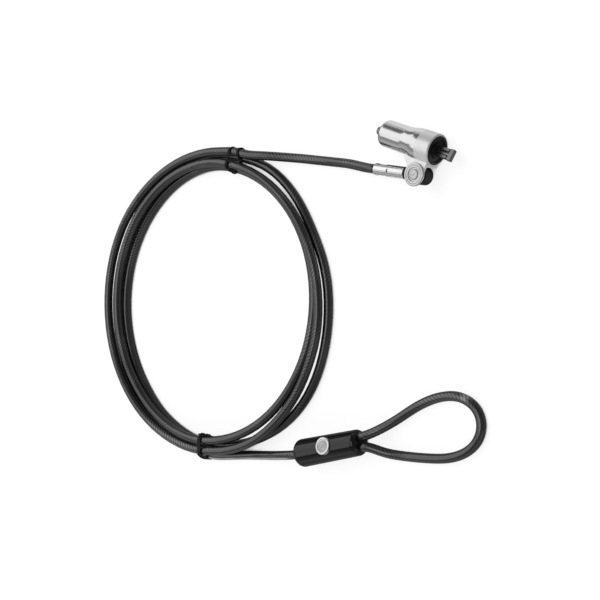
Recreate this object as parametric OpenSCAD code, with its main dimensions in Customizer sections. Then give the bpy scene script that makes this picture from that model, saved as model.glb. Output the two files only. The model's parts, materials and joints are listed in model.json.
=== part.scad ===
// Laptop cable lock: a keyed lock head, hinged and swivelling on a coiled steel cable with an anchor loop.
// The origin is on the surface it lies on, under the middle of the lock head. +X runs along the barrel
// towards the locking tip, and +Z is up.

/* [Barrel] */
// Diameter of the barrel
barrel_d = 11; // [10.6:0.1:11.8]
// Diameter of the collar at the nose
collar_d = 13.2; // [12.8:0.1:13.8]
// Length of the casing from the key end to the nose
casing_len = 27.4; // [27:0.1:32]
// Length of the collar's straight part
collar_len = 8.2; // [6:0.1:10]
// Length of the flare between the barrel and the collar
flare_len = 7.5; // [3:0.1:8]
// Radius of the rounded key end
key_end_round = 2; // [0.8:0.1:2.4]
// Least wall that the rounding leaves where the core chamber starts
key_end_wall = 0.25; // [0.15:0.05:0.4]
// Width of the bevel on the nose rim
rim_bevel = 0.4; // [0.2:0.05:0.5]

/* [Lock core] */
// Diameter of the core chamber in the casing
chamber_d = 9.2; // [9:0.1:9.6]
// Bore of the key collar, where the tubular key goes in
keyway_d = 6.6; // [6:0.1:7]
// Length of the key collar
key_collar_len = 5; // [4:0.1:6]
// Width of the key's locating notch
key_notch_w = 1.2; // [0.8:0.1:1.6]
// Wall left outside the key's locating notch
notch_wall = 0.4; // [0.3:0.05:0.6]
// Diameter of the centre post that the key fits over
post_d = 3.4; // [3:0.1:3.8]
// How far the centre post stands out of the key end
post_proud = 3.3; // [2.8:0.1:3.6]
// Length of the turning plug
plug_len = 4.6; // [4:0.1:6]
// Length of the fixed pin block
pin_block_len = 8; // [7:0.1:9]
// Diameter of the spindle behind the plug
spindle_d = 2.6; // [2.2:0.1:3]
// Number of pin stacks
pin_count = 6; // [4:1:7]
// Diameter of the circle that the pins stand on
pin_circle_d = 5.8; // [5.4:0.1:6.4]
// Diameter of a pin
pin_d = 1; // [0.8:0.05:1.1]
// Length of a driver pin
driver_len = 2.4; // [2:0.1:3]
// Outer diameter of the screw that holds the pin block
block_screw_d = 1.6; // [1.2:0.1:1.8]

/* [Locking tip] */
// How far the tip reaches past the nose
tip_reach = 7.7; // [7.3:0.1:9]
// Width of the T head
tee_w = 5; // [4:0.1:5.4]
// Thickness of the T head, edge to edge
tee_h = 2.2; // [1.8:0.1:2.4]
// Length of the T head along the barrel
tee_len = 1.5; // [1:0.1:2]
// Diameter of the tip's stem
stem_d = 1.8; // [1.4:0.05:2]
// Gap between the guide lugs and the T head
tee_gap = 0.5; // [0.3:0.1:0.8]
// Overall width of the two guide lugs
guide_w = 4.6; // [4:0.1:5]
// Height of the guide lugs
guide_h = 2.2; // [1.8:0.1:2.6]
// Turn of the tip and its lugs about the barrel
tip_roll = -18; // [-45:1:45]
// Diameter of the rubber nose pad
pad_d = 11.8; // [11.2:0.1:12.2]
// Thickness of the nose pad's web
pad_t = 1.2; // [0.9:0.1:1.6]
// Width of the nose pad's rim
pad_rim_w = 1; // [0.6:0.1:1.4]
// How far the pad's rim stands proud of the nose
pad_proud = 0.3; // [0.1:0.1:0.6]
// Depth of the dish inside the rim
dish_depth = 0.6; // [0.3:0.1:0.8]
// Diameter of the pad's middle boss
pad_boss_d = 6.2; // [5.6:0.1:7]
// Thickness of the guide plate behind the pad
guide_plate_t = 1.4; // [1:0.1:2]

/* [Hinge] */
// Distance from the barrel's axis to the hinge axis
hinge_offset = 11.3; // [10.9:0.1:12]
// Distance from the nose back to the hinge axis
hinge_setback = 4.7; // [4.2:0.1:6]
// Diameter of the hinge cap
cap_d = 9.4; // [8.8:0.1:10]
// Diameter of the groove in the hinge cap
cap_ring_d = 5.7; // [5:0.1:6.4]
// Thickness of the hinge cap
cap_t = 0.8; // [0.7:0.1:1.4]
// Width of the lug round the hinge pin
lug_d = 5.6; // [5:0.1:8.8]
// How far back from the nose the lug runs
lug_back = 12; // [9:0.1:13]
// Step from the nose to the lug's near side
lug_front = 0.8; // [0.5:0.1:1.5]
// Thickness of the lug's plate
lug_t = 1.5; // [1.2:0.1:2]
// Diameter of the hinge pin
hinge_pin_d = 2.8; // [2.4:0.1:3.2]
// Diameter of the hinge pin's lower head
pin_head_d = 4.4; // [4:0.1:5.6]
// Thickness of the hinge pin's lower head
pin_head_t = 0.9; // [0.6:0.1:1]
// Thickness of a hinge washer
washer_t = 0.2; // [0.15:0.05:0.3]

/* [Swivel] */
// Diameter of the pivot block
block_d = 7.6; // [7.2:0.1:8]
// Height of the pivot block
block_h = 6.2; // [5.6:0.1:6.4]
// How far the cable's axis lies below the barrel's
cable_drop = 1.1; // [0.9:0.1:1.3]
// Diameter of the pivot block's neck
neck_d = 4.9; // [4.7:0.1:5.2]
// Distance from the hinge axis to the neck's end
neck_reach = 6.6; // [6.2:0.1:8.4]
// Diameter of the retaining collar on the neck's end
retainer_d = 5.1; // [4.9:0.1:5.4]
// Thickness of the retaining collar's rim
retainer_rim = 1.1; // [0.8:0.1:1.6]
// Outer diameter of the retaining collar's spigot
spigot_d = 3.8; // [3.6:0.1:4]
// Diameter of the swivel stud
stud_d = 2.2; // [1.8:0.1:2.4]
// Diameter of the stud's head
stud_head_d = 3.4; // [3:0.1:3.6]
// Thickness of the stud's head
stud_head_t = 1.2; // [0.8:0.1:1.4]
// Angle between the cable and the barrel
cable_swing = 10; // [4:1:30]
// Diameter of the cable ferrule
ferrule_d = 5; // [4.6:0.1:5.2]
// Length of the cable ferrule
ferrule_len = 15.4; // [13:0.1:18]
// Diameter of the dimple pressed in the ferrule
dimple_d = 1.6; // [1:0.1:2]
// Depth of the crimp flats on the ferrule
crimp_depth = 0.25; // [0.1:0.05:0.4]

/* [Cable] */
// Diameter of the cable over its jacket
cable_d = 4; // [3.6:0.1:4]
// Radius of the coil at the middle of its first turn
coil_r = 69.4; // [66:0.2:76]
// Radial step from one turn of the coil to the next
coil_pitch = 4.6; // [4.5:0.1:5.2]
// Height from the coil's lower layer to its upper layer
coil_rise = 4.45; // [4.45:0.05:4.8]
// Extra looseness of the turns between the ties
coil_spread = 0.5; // [0:0.05:0.7]
// Width of each coil tie
tie_w = 4; // [2:0.1:6]
// Thickness of the coil ties
tie_t = 0.7; // [0.5:0.05:1]

/* [Loop sleeve] */
// Diameter of the sleeve cover where the cable goes in
sleeve_d = 12; // [11.6:0.1:12.6]
// Diameter of the sleeve cover where the loop comes out
sleeve_tip_d = 11; // [10.8:0.1:11.5]
// Length of the sleeve cover
sleeve_len = 34; // [32:0.2:42]
// Rounding of the sleeve cover's ends
sleeve_round = 2.2; // [1:0.1:3]
// Wall of the crimp tube round the two cable legs
crimp_wall = 0.9; // [0.6:0.1:0.9]
// Length of the crimp tube inside the cover
crimp_len = 26; // [20:0.5:28]
// Distance between the two cable legs where they leave the sleeve
leg_gap = 4.4; // [4.2:0.1:4.8]
// Diameter of the round badge
badge_d = 7.4; // [6.6:0.1:8]
// Thickness of the badge where it shows
badge_t = 0.5; // [0.3:0.1:0.8]
// Depth of the seat cut in the sleeve for the badge
badge_seat = 1.5; // [1.3:0.1:1.8]
// Distance from the sleeve's middle to the badge, towards the loop
badge_shift = 0.8; // [0:0.1:2]
// Turn of the badge about the sleeve
badge_roll = 12; // [0:1:16]

/* [Fits] */
// Radial clearance of a turning fit
run_fit = 0.05; // [0.03:0.01:0.08]
// Gap between faces that turn past each other
face_gap = 0.1; // [0.05:0.05:0.2]

/* [Hidden] */
$fn = 48;

silver = [0.80, 0.81, 0.82];
brass = [0.78, 0.63, 0.33];
steel = [0.62, 0.63, 0.65];
black = [0.06, 0.06, 0.07];
jacket = [0.12, 0.12, 0.13];
eps = 0.01;

// Lock head: places along the barrel, with the origin under the middle of the head's box
head_len = post_proud + casing_len + tip_reach;
nose_x = head_len / 2 - tip_reach;
key_end_x = nose_x - casing_len;
axis_y = (hinge_offset + max(cap_d, lug_d) / 2 - collar_d / 2) / 2;
axis_z = collar_d / 2;
cable_axis_z = axis_z - cable_drop;
hinge_x = nose_x - hinge_setback;
hinge_y = axis_y - hinge_offset;

// Core, from the key end towards the nose
key_lip = 0.8;
key_end_room = max(barrel_d / 2 - chamber_d / 2 - key_end_wall, 0);
key_end_fillet = min(key_end_round, key_end_room + key_lip + sqrt(2 * key_end_room * key_lip));
plug_d = chamber_d - 2 * run_fit;
plug_x = key_end_x + key_lip + key_collar_len;
post_len = plug_x - key_end_x + post_proud + 1;
pin_block_x = plug_x + plug_len + face_gap;
pin_block_end = pin_block_x + pin_block_len;
guide_plate_x = nose_x + pad_proud - dish_depth - pad_t - guide_plate_t;
tip_end_x = nose_x + tip_reach;
tee_x = tip_end_x - tee_len;
guide_end_x = tee_x - tee_gap;
spindle_front = guide_plate_x - 1;
stem_socket = 4;
screw_x = pin_block_x + pin_block_len / 2;

// Hinge, from the surface up
block_z = cable_axis_z - block_h / 2;
block_top = block_z + block_h;
lug_z = block_top + washer_t;
lug_top = lug_z + lug_t;
cable_dir = 180 + cable_swing;
ferrule_start = neck_reach + retainer_rim + face_gap;
ferrule_end = ferrule_start + ferrule_len;
stud_head_at = hinge_pin_d / 2 + 1;

// Coil: the middle of the turns, the step of the upper layer and the angles of the ties
coil_centre = [-86.1, -94.2];
upper_shift = [-1.3, -1.5];
start_angle = 110;
reversal = 1.5;
climb = 0.5;
tie_angles = [100.6, 283.7];
close_angles = [117, 282];
close_reach = 32;
lift_reach = 12;
rings_per_turn = 24;
coil_sides = 6;
coil_steps = 84;
coil_from = -0.5 / rings_per_turn;
// Places where a turn strays from its circle: turn, reach and shift
coil_strays = [[0.1, 0.05, -0.8], [0.22, 0.08, -0.4], [0.52, 0.08, -0.6], [0.62, 0.04, -0.8],
               [0.68, 0.03, -0.6], [1.52, 0.06, -0.5], [2.64, 0.08, 2.6], [2.83, 0.04, -1.4],
               [2.92, 0.03, 0.5]];
coil_to = coil_from + coil_steps / rings_per_turn;

// Loop sleeve: its middle and its heading
sleeve_at = [1.2, -127.1];
sleeve_dir = 32.5;
sleeve_z = sleeve_d / 2;
sleeve_top = (sleeve_d + sleeve_tip_d) / 4;

// Cable routes, chosen by hand
lead_route = [[-31.5, -12.7, 4], [-40.5, -14.4, 2.5], [-49.5, -16.2, 2.1], [-58.5, -18, 2.4],
              [-67.5, -20, 3.5], [-76.5, -22.1, 5.2], [-85.5, -24.3, 6.4]];
tail_route = [[-46.5, -152.6, 1.9], [-38.5, -149, 2.2], [-31.5, -145.8, 3.2], [-25.5, -142.9, 4.8]];
loop_route = [[18.5, -112.8, 5.3], [22.1, -109, 4.1], [25.5, -105, 3.1], [28.8, -100.8, 2.4],
              [32.1, -96.6, 2.1], [35.8, -92.6, 2], [39.8, -89, 2], [44.2, -86, 2], [49, -83.8, 2],
              [54.3, -83.1, 2], [59.5, -84.4, 2], [63.4, -88.1, 2], [64.8, -93.2, 2], [63.7, -98.4, 2],
              [60.7, -102.8, 2], [56.7, -106.3, 2], [52, -109.1, 2], [47.1, -111.3, 2],
              [42.1, -113.3, 2], [37.1, -115.1, 2.2], [32, -116.7, 2.7], [26.9, -117.9, 3.7],
              [21.7, -118.4, 5.1]];
free_sides = 8;
cable_low = cable_d / 2 * cos(180 / free_sides);

// Vectors
function polar(r, a) = [r * cos(a), r * sin(a)];
function unit(v) = v / norm(v);
function smooth(s) = let (c = min(1, max(0, s))) c * c * (3 - 2 * c);
function along(from, angle, reach) = [from[0] + reach * cos(angle), from[1] + reach * sin(angle), from[2]];

// Coil: t counts turns from the top. Turns spiral in on the upper layer, step down in the half turn where
// they reverse, and spiral out again on the lower one. They lie close at the ties and looser between them.
function turn_step(t) = t < reversal ? -coil_pitch * t
    : t < reversal + climb ? -coil_pitch * reversal
    : -coil_pitch * reversal + coil_pitch * (t - reversal - climb);
function coil_angle(t) = start_angle + 360 * t;
function apart(a, b) = abs((((a - b) % 360) + 540) % 360 - 180);
function near(angles, a, reach) = max([for (at = angles) exp(-pow(apart(a, at) / reach, 2))]);
function middle_step() = -coil_pitch * reversal / 2;
function stray(t) = sum([for (s = coil_strays) s[2] * exp(-pow((t - s[0]) / s[1], 2))]);
function turn_radius(t) = let (loose = 1 + coil_spread * (1 - near(close_angles, coil_angle(t), close_reach)))
    coil_r + middle_step() + (turn_step(t) - middle_step()) * loose + stray(t);
function layer(t) = 1 - smooth((t - reversal) / climb);
function tie_lift(t) = tie_t * near(tie_angles, coil_angle(t), lift_reach);
function coil_point(t) = let (p = coil_centre + layer(t) * upper_shift + polar(turn_radius(t), coil_angle(t)))
    [p[0], p[1], cable_low + tie_lift(t) + coil_rise * layer(t)];
function coil_heading(t) = let (v = coil_point(t + 0.001) - coil_point(t - 0.001)) unit([v[0], v[1], 0]);
coil_start = coil_point(coil_from) - coil_heading(coil_from) * cable_d;
coil_end = coil_point(coil_to) + coil_heading(coil_to) * cable_d;
coil_path = concat([coil_start],
    [for (i = [0 : coil_steps]) coil_point(coil_from + i / rings_per_turn)],
    [coil_end]);

// The free stretches, each straight where it leaves a fitting or the coil
leg_straight = 1.5;
hinge_point = [hinge_x, hinge_y, cable_axis_z];
sleeve_point = [sleeve_at[0], sleeve_at[1], sleeve_z];
sleeve_side = polar(leg_gap / 2, sleeve_dir + 90);
out_leg = sleeve_point + [sleeve_side[0], sleeve_side[1], 0];
back_leg = sleeve_point - [sleeve_side[0], sleeve_side[1], 0];
half_sleeve = sleeve_len / 2;
lead_path = concat([for (d = [0, cable_d]) along(hinge_point, cable_dir, ferrule_end + d)],
    lead_route, [coil_start - coil_heading(coil_from) * cable_d, coil_start]);
tail_path = concat([coil_end, coil_end + coil_heading(coil_to) * cable_d], tail_route,
    [for (d = [cable_d, 0]) along(sleeve_point, sleeve_dir, -half_sleeve - d)]);
loop_path = concat([for (d = [0, leg_straight]) along(out_leg, sleeve_dir, half_sleeve + d)], loop_route,
    [for (d = [leg_straight, 0]) along(back_leg, sleeve_dir, half_sleeve + d)]);

// A tube swept along points: one ring on each, square to the path, with flats above and below
function tangent(path, i) = let (last = len(path) - 1)
    unit(i < 2 ? path[1] - path[0] : i > last - 2 ? path[last] - path[last - 1] : path[i + 1] - path[i - 1]);
function ring(path, i, r, sides) =
    let (t = tangent(path, i), side = unit(cross(t, [0, 0, 1])), up = cross(side, t))
    [for (k = [0 : sides - 1]) let (a = 360 * (k + (sides % 4 == 0 ? 0.5 : 0)) / sides)
        path[i] + r * cos(a) * side + r * sin(a) * up];
module tube(path, d, sides) {
    rows = len(path);
    points = [for (i = [0 : rows - 1]) each ring(path, i, d / 2, sides)];
    walls = [for (i = [0 : rows - 2], k = [0 : sides - 1])
        let (a = i * sides + k, b = i * sides + (k + 1) % sides)
        each [[a, a + sides, b], [b, a + sides, b + sides]]];
    start = [for (k = [1 : sides - 2]) [0, k, k + 1]];
    end = [for (k = [1 : sides - 2]) let (o = (rows - 1) * sides) [o, o + k + 1, o + k]];
    polyhedron(points = points, faces = concat(walls, start, end), convexity = 10);
}

// Measures of the cable, printed when the model is built
function length(path) = sum([for (i = [1 : len(path) - 1]) norm(path[i] - path[i - 1])]);
function sum(v, i = 0, total = 0) = i < len(v) ? sum(v, i + 1, total + v[i]) : total;
function coil_gap() = min([for (i = [1 : coil_steps], j = [i + rings_per_turn / 2 : coil_steps + 1])
    norm(coil_path[i] - coil_path[j])]) - cable_d;
echo(coil_gap = coil_gap(), coil_length = length(coil_path), lead_length = length(lead_path),
     tail_length = length(tail_path), loop_length = length(loop_path));

// Placing
module on_barrel() translate([0, axis_y, axis_z]) rotate([0, 90, 0]) children();
module at_nose_roll() translate([0, axis_y, axis_z]) rotate([tip_roll, 0, 0]) children();
module at_hinge() translate([hinge_x, hinge_y, 0]) children();
module on_cable_axis(reach) at_hinge() translate([0, 0, cable_axis_z]) rotate([0, 0, cable_dir])
    translate([reach, 0, 0]) rotate([0, 90, 0]) children();
module in_sleeve() translate(sleeve_point) rotate([0, 0, sleeve_dir]) children();

// Silver casing: a barrel that flares into a collar, with a lug on one side for the hinge
module casing_profile() {
    barrel_r = barrel_d / 2;
    collar_r = collar_d / 2;
    flare_x = nose_x - collar_len;
    rotate_extrude($fn = 96)
        polygon(concat(
            [[0, key_end_x]],
            [for (a = [0 : 10 : 90]) [barrel_r - key_end_fillet + key_end_fillet * sin(a),
                                      key_end_x + key_end_fillet - key_end_fillet * cos(a)]],
            [for (i = [0 : 8]) [barrel_r + (collar_r - barrel_r) * smooth(i / 8),
                                flare_x - flare_len * (1 - i / 8)]],
            [[collar_r, nose_x - rim_bevel], [collar_r - rim_bevel, nose_x], [0, nose_x]]));
}
module lug_outline() {
    side_y = axis_y - collar_d / 2 + 0.5;
    translate([hinge_x, hinge_y])
        circle(d = lug_d);
    polygon([[hinge_x - lug_d / 2, hinge_y], [nose_x - lug_back, side_y], [nose_x - lug_back, axis_y - 3],
             [nose_x - lug_front, axis_y - 3], [nose_x - lug_front, side_y], [hinge_x + lug_d / 2, hinge_y]]);
}
module lug_body() {
    wall_y = hinge_y + block_d / 2 + 4 * run_fit;
    translate([0, 0, lug_z])
        linear_extrude(lug_t)
            lug_outline();
    translate([0, 0, block_z])
        linear_extrude(lug_z + eps - block_z)
            intersection() {
                lug_outline();
                translate([nose_x - lug_back, wall_y]) square([lug_back, axis_y - wall_y]);
            }
}
module lock_casing() color(silver) difference() {
    union() {
        on_barrel() casing_profile();
        lug_body();
    }
    at_hinge() translate([0, 0, block_z - eps])
        cylinder(d = block_d + 8 * run_fit, h = lug_z - block_z + eps);
    at_hinge() cylinder(d = hinge_pin_d, h = lug_top + 1);
    on_barrel() translate([0, 0, key_end_x + key_lip])
        cylinder(d = chamber_d, h = guide_plate_x - key_end_x - key_lip);
    on_barrel() translate([0, 0, key_end_x - 1]) cylinder(d = keyway_d + 0.6, h = key_lip + 2);
    on_barrel() translate([0, 0, guide_plate_x]) cylinder(d = pad_d, h = casing_len);
    on_barrel() translate([0, 0, screw_x]) rotate([0, 90, 0]) cylinder(d = block_screw_d, h = barrel_d);
}

// Key collar: the ring that a tubular key slides into, with its locating notch
module key_collar() color(black) on_barrel() translate([0, 0, key_end_x + key_lip]) difference() {
    notch_reach = chamber_d / 2 - notch_wall;
    cylinder(d = chamber_d, h = key_collar_len - face_gap);
    translate([0, 0, -eps]) cylinder(d = keyway_d, h = key_collar_len);
    translate([-notch_reach, -key_notch_w / 2, -eps]) cube([notch_reach, key_notch_w, key_collar_len]);
}

// Turning spindle: the centre post, the plug that holds the key pins, and the shaft to the tip
module spindle_body() on_barrel() difference() {
    union() {
        translate([0, 0, key_end_x - post_proud])
            rotate_extrude()
                polygon([[0, 0], [post_d / 2 - 0.3, 0], [post_d / 2, 0.3],
                         [post_d / 2, post_len], [0, post_len]]);
        translate([0, 0, plug_x]) cylinder(d = plug_d, h = plug_len);
        translate([0, 0, plug_x]) cylinder(d = spindle_d, h = spindle_front - plug_x);
        translate([0, 0, pin_block_end + face_gap])
            cylinder(d = plug_d - 2, h = spindle_front - pin_block_end - face_gap);
    }
    pin_places() translate([0, 0, plug_x - 1]) cylinder(d = pin_d + 2 * run_fit, h = plug_len + 2);
    translate([0, 0, spindle_front - stem_socket]) cylinder(d = stem_d, h = stem_socket + 1);
}
module pin_places() for (k = [0 : pin_count - 1])
    rotate([0, 0, 360 * (k + 0.5) / pin_count]) translate([pin_circle_d / 2, 0, 0]) children();

module lock_spindle() color(steel) difference() {
    spindle_body();
    cross_pin(plug_d);
}

// Key pins, at the shear line as with the key in
module key_pins() color(steel) on_barrel() pin_places() translate([0, 0, plug_x]) {
    cylinder(d1 = pin_d - 0.3, d2 = pin_d, h = 0.4, $fn = 24);
    translate([0, 0, 0.4 - eps]) cylinder(d = pin_d, h = plug_len - 0.4 + eps, $fn = 24);
}

// Driver pins and their springs, in the fixed block
module driver_pins() color(steel) on_barrel() pin_places() translate([0, 0, pin_block_x + face_gap])
    cylinder(d = pin_d, h = driver_len, $fn = 24);
module pin_springs() color(steel) on_barrel() pin_places()
    translate([0, 0, pin_block_x + face_gap + driver_len]) difference() {
        cylinder(d = pin_d, h = pin_block_len - 1 - face_gap - driver_len, $fn = 24);
        translate([0, 0, -1]) cylinder(d = pin_d / 2, h = pin_block_len, $fn = 24);
    }
module pin_block() color(brass) on_barrel() difference() {
    translate([0, 0, pin_block_x]) cylinder(d = chamber_d, h = pin_block_len);
    translate([0, 0, pin_block_x - 1]) cylinder(d = spindle_d + 2 * run_fit, h = pin_block_len + 2);
    pin_places() translate([0, 0, pin_block_x - 1]) cylinder(d = pin_d + 2 * run_fit, h = pin_block_len);
    translate([0, 0, screw_x]) rotate([0, 90, 0]) translate([0, 0, chamber_d / 2 - 1])
        cylinder(d = block_screw_d, h = 2);
}
module block_screw() color(steel) on_barrel() translate([0, 0, screw_x]) rotate([0, 90, 0])
    translate([0, 0, chamber_d / 2 - 1]) cylinder(d = block_screw_d, h = barrel_d / 2 - chamber_d / 2 + 0.7);

// Locking tip: a stem with a T head that turns a quarter turn behind the slot
module cross_pin(reach) on_barrel() translate([0, 0, spindle_front - stem_socket / 2]) rotate([90, 0, 0])
    cylinder(d = pin_d, h = reach, center = true, $fn = 24);
module locking_tip() color(steel) difference() {
    union() {
        on_barrel() translate([0, 0, spindle_front - stem_socket])
            cylinder(d = stem_d, h = tee_x - spindle_front + stem_socket + eps);
        at_nose_roll() translate([tee_x, 0, 0]) intersection() {
            translate([0, -tee_w / 2, -tee_h / 2]) cube([tee_len, tee_w, tee_h]);
            rotate([0, 90, 0]) cylinder(d = tee_w, h = tee_len);
        }
    }
    cross_pin(plug_d);
}
module tip_pin() color(steel) cross_pin(plug_d - 2.4);

// Guide plate: a steel disc with two lugs that enter the slot beside the stem
module guide_plate() color(steel) difference() {
    union() {
        on_barrel() translate([0, 0, guide_plate_x]) cylinder(d = pad_d, h = guide_plate_t);
        at_nose_roll() translate([guide_plate_x, 0, 0]) intersection() {
            translate([0, -guide_w / 2, -guide_h / 2]) cube([guide_end_x - guide_plate_x, guide_w, guide_h]);
            rotate([0, 90, 0]) cylinder(d = guide_w, h = guide_end_x - guide_plate_x);
        }
    }
    on_barrel() translate([0, 0, guide_plate_x - 1])
        cylinder(d = stem_d + 2 * run_fit, h = guide_end_x - guide_plate_x + 2);
    at_nose_roll() translate([nose_x + 1.6, -stem_d / 2 - 0.1, -guide_h])
        cube([guide_end_x - nose_x, stem_d + 0.2, 2 * guide_h]);
}

// Rubber nose pad: a rim, a dish and a middle boss with a window for the guide lugs
module nose_pad() color(black) difference() {
    on_barrel() rotate_extrude($fn = 96) {
        r = pad_d / 2;
        back = guide_plate_x + guide_plate_t;
        front = nose_x + pad_proud;
        dish = front - dish_depth;
        boss = pad_boss_d / 2;
        polygon([[0, back], [r, back], [r, front - 0.25], [r - 0.25, front], [r - pad_rim_w, front],
                 [r - pad_rim_w - 0.3, dish], [boss + 0.3, dish], [boss, front], [0, front]]);
    }
    at_nose_roll() translate([guide_plate_x, -guide_w / 2, -guide_h / 2])
        cube([casing_len, guide_w, guide_h]);
}

// Hinge: a pin with a wide turned cap, washers and the black pivot block
module hinge_pin() color(steel) at_hinge() {
    translate([0, 0, block_z - washer_t - pin_head_t]) cylinder(d = pin_head_d, h = pin_head_t);
    translate([0, 0, block_z - washer_t - eps])
        cylinder(d = hinge_pin_d, h = lug_top - block_z + washer_t + eps);
}
module hinge_cap() color(silver) at_hinge() translate([0, 0, lug_top]) rotate_extrude($fn = 96) {
    r = cap_d / 2;
    ring = cap_ring_d / 2;
    polygon([[0, 0], [r, 0], [r, cap_t - 0.3], [r - 0.3, cap_t], [ring, cap_t], [ring - 0.3, cap_t - 0.3],
             [ring - 0.7, cap_t - 0.3], [ring - 1, cap_t - 0.05], [0, cap_t - 0.05]]);
}
module hinge_washers() color(steel) at_hinge() for (z = [block_z - washer_t, block_top])
    translate([0, 0, z]) difference() {
        cylinder(d = pin_head_d, h = washer_t);
        translate([0, 0, -1]) cylinder(d = hinge_pin_d, h = washer_t + 2);
    }
module pivot_block() color(black) difference() {
    union() {
        at_hinge() translate([0, 0, block_z]) rotate_extrude() {
            r = block_d / 2;
            polygon([[0, 0], [r - 0.5, 0], [r, 0.5], [r, block_h - 0.5], [r - 0.5, block_h], [0, block_h]]);
        }
        on_cable_axis(0) cylinder(d = neck_d, h = neck_reach);
    }
    at_hinge() cylinder(d = hinge_pin_d + 2 * run_fit, h = lug_z + 1);
    on_cable_axis(stud_head_at) cylinder(d = spigot_d, h = neck_reach);
}

// Swivel: a stud whose head is caught in the block by a pressed collar
module swivel_retainer() color(black) difference() {
    union() {
        on_cable_axis(neck_reach) cylinder(d = retainer_d, h = retainer_rim);
        on_cable_axis(stud_head_at + stud_head_t + 2 * face_gap)
            cylinder(d = spigot_d, h = neck_reach - stud_head_at - stud_head_t - 2 * face_gap + eps);
    }
    on_cable_axis(0) cylinder(d = stud_d + 2 * run_fit, h = neck_reach + retainer_rim + 1);
}
module swivel_stud() color(steel) {
    on_cable_axis(stud_head_at + face_gap) cylinder(d = stud_head_d, h = stud_head_t);
    on_cable_axis(stud_head_at + face_gap + stud_head_t - eps)
        cylinder(d = stud_d, h = ferrule_start - stud_head_at + 4 - stud_head_t);
}
module cable_ferrule() color(silver) difference() {
    on_cable_axis(ferrule_start) rotate_extrude() {
        r = ferrule_d / 2;
        polygon([[0, 0], [r - 0.3, 0], [r, 0.3], [r, ferrule_len - 0.3],
                 [r - 0.3, ferrule_len], [0, ferrule_len]]);
    }
    on_cable_axis(ferrule_start - 1) cylinder(d = stud_d, h = 5 + face_gap + 0.2);
    on_cable_axis(ferrule_start + ferrule_len / 2 - dimple_d / 2) rotate([0, 0, 180])
        translate([ferrule_d / 2 - 0.5, 0, dimple_d / 2]) rotate([0, 90, 0]) cylinder(d = dimple_d, h = 2);
    for (side = [1, -1]) on_cable_axis(ferrule_start + ferrule_len * 0.62)
        translate([-ferrule_d, side * (ferrule_d - crimp_depth) - ferrule_d / 2, 0])
            cube([2 * ferrule_d, ferrule_d, ferrule_len * 0.3]);
}

// Cable, in the stretches that lie free and the coil
module cable_lead() color(jacket) tube(lead_path, cable_d, free_sides);
module cable_coil() color(jacket) tube(coil_path, cable_d, coil_sides);
module cable_tail() color(jacket) tube(tail_path, cable_d, free_sides);
module cable_loop() color(jacket) tube(loop_path, cable_d, free_sides);

// A tie: a band round the strands that pass its angle
module strand_shape(angle, grow) {
    hull() for (k = [-1 : 3]) let (t = (angle - start_angle) / 360 + k) if (t > -0.1 && t < reversal + 2.1) {
        p = coil_point(t);
        reach = norm([p[0] - coil_centre[0], p[1] - coil_centre[1]]);
        translate([reach, p[2]]) circle(r = cable_d / 2 + grow, $fn = 32);
    }
}
module tie(angle) intersection() {
    translate([coil_centre[0], coil_centre[1], 0]) rotate([0, 0, angle]) rotate([90, 0, 0])
        linear_extrude(tie_w, center = true)
            difference() {
                strand_shape(angle, tie_t);
                strand_shape(angle, 0.05);
            }
    translate([coil_centre[0] - 2 * coil_r, coil_centre[1] - 2 * coil_r, 0]) cube(4 * coil_r);
}
module tie_top() color(black) tie(tie_angles[0]);
module tie_bottom() color(black) tie(tie_angles[1]);

// Loop sleeve: a glossy cover over the crimp tube that grips both legs, and its plain badge
module sleeve_profile() rotate([0, 90, 0]) rotate_extrude($fn = 96) {
    r = sleeve_round;
    polygon(concat([[0, -half_sleeve]],
        [for (a = [0 : 15 : 90]) [sleeve_d / 2 - r + r * sin(a), -half_sleeve + r - r * cos(a)]],
        [for (a = [90 : -15 : 0]) [sleeve_tip_d / 2 - r + r * sin(a), half_sleeve - r + r * cos(a)]],
        [[0, half_sleeve]]));
}
module crimp_outline() {
    for (side = [1, -1]) translate([side * leg_gap / 2, 0]) circle(r = cable_d / 2 + crimp_wall);
    square([leg_gap, cable_d + 2 * crimp_wall], center = true);
}
module along_sleeve(from, to) translate([from, 0, 0]) rotate([90, 0, 90])
    linear_extrude(to - from) children();
module leg_rods() {
    along_sleeve(-crimp_len / 2, half_sleeve)
        for (side = [1, -1]) translate([side * leg_gap / 2, 0]) circle(d = cable_d);
    along_sleeve(-half_sleeve, -crimp_len / 2 + 1) circle(d = cable_d);
}
module on_badge() translate([badge_shift, 0, 0]) rotate([-badge_roll, 0, 0])
    translate([0, 0, sleeve_top - badge_seat]) children();
module cable_legs() color(jacket) in_sleeve() leg_rods();
module loop_sleeve() color(black) in_sleeve() difference() {
    sleeve_profile();
    along_sleeve(-crimp_len / 2, crimp_len / 2) crimp_outline();
    leg_rods();
    on_badge() cylinder(d = badge_d, h = badge_seat + 1);
}
module loop_crimp() color(silver) in_sleeve() difference() {
    along_sleeve(-crimp_len / 2, crimp_len / 2) crimp_outline();
    leg_rods();
}
module sleeve_badge() color(silver) in_sleeve() on_badge()
    rotate_extrude($fn = 96) {
        r = badge_d / 2;
        top = badge_seat + badge_t;
        polygon([[0, 0], [r, 0], [r, top - 0.2], [r - 0.2, top], [r - 0.8, top],
                 [r - 1, top - 0.2], [0, top - 0.2]]);
    }

lock_casing();
key_collar();
lock_spindle();
key_pins();
driver_pins();
pin_springs();
pin_block();
block_screw();
locking_tip();
tip_pin();
guide_plate();
nose_pad();
hinge_pin();
hinge_cap();
hinge_washers();
pivot_block();
swivel_retainer();
swivel_stud();
cable_ferrule();
cable_lead();
cable_coil();
cable_tail();
cable_loop();
cable_legs();
loop_sleeve();
loop_crimp();
sleeve_badge();
tie_top();
tie_bottom();
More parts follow.
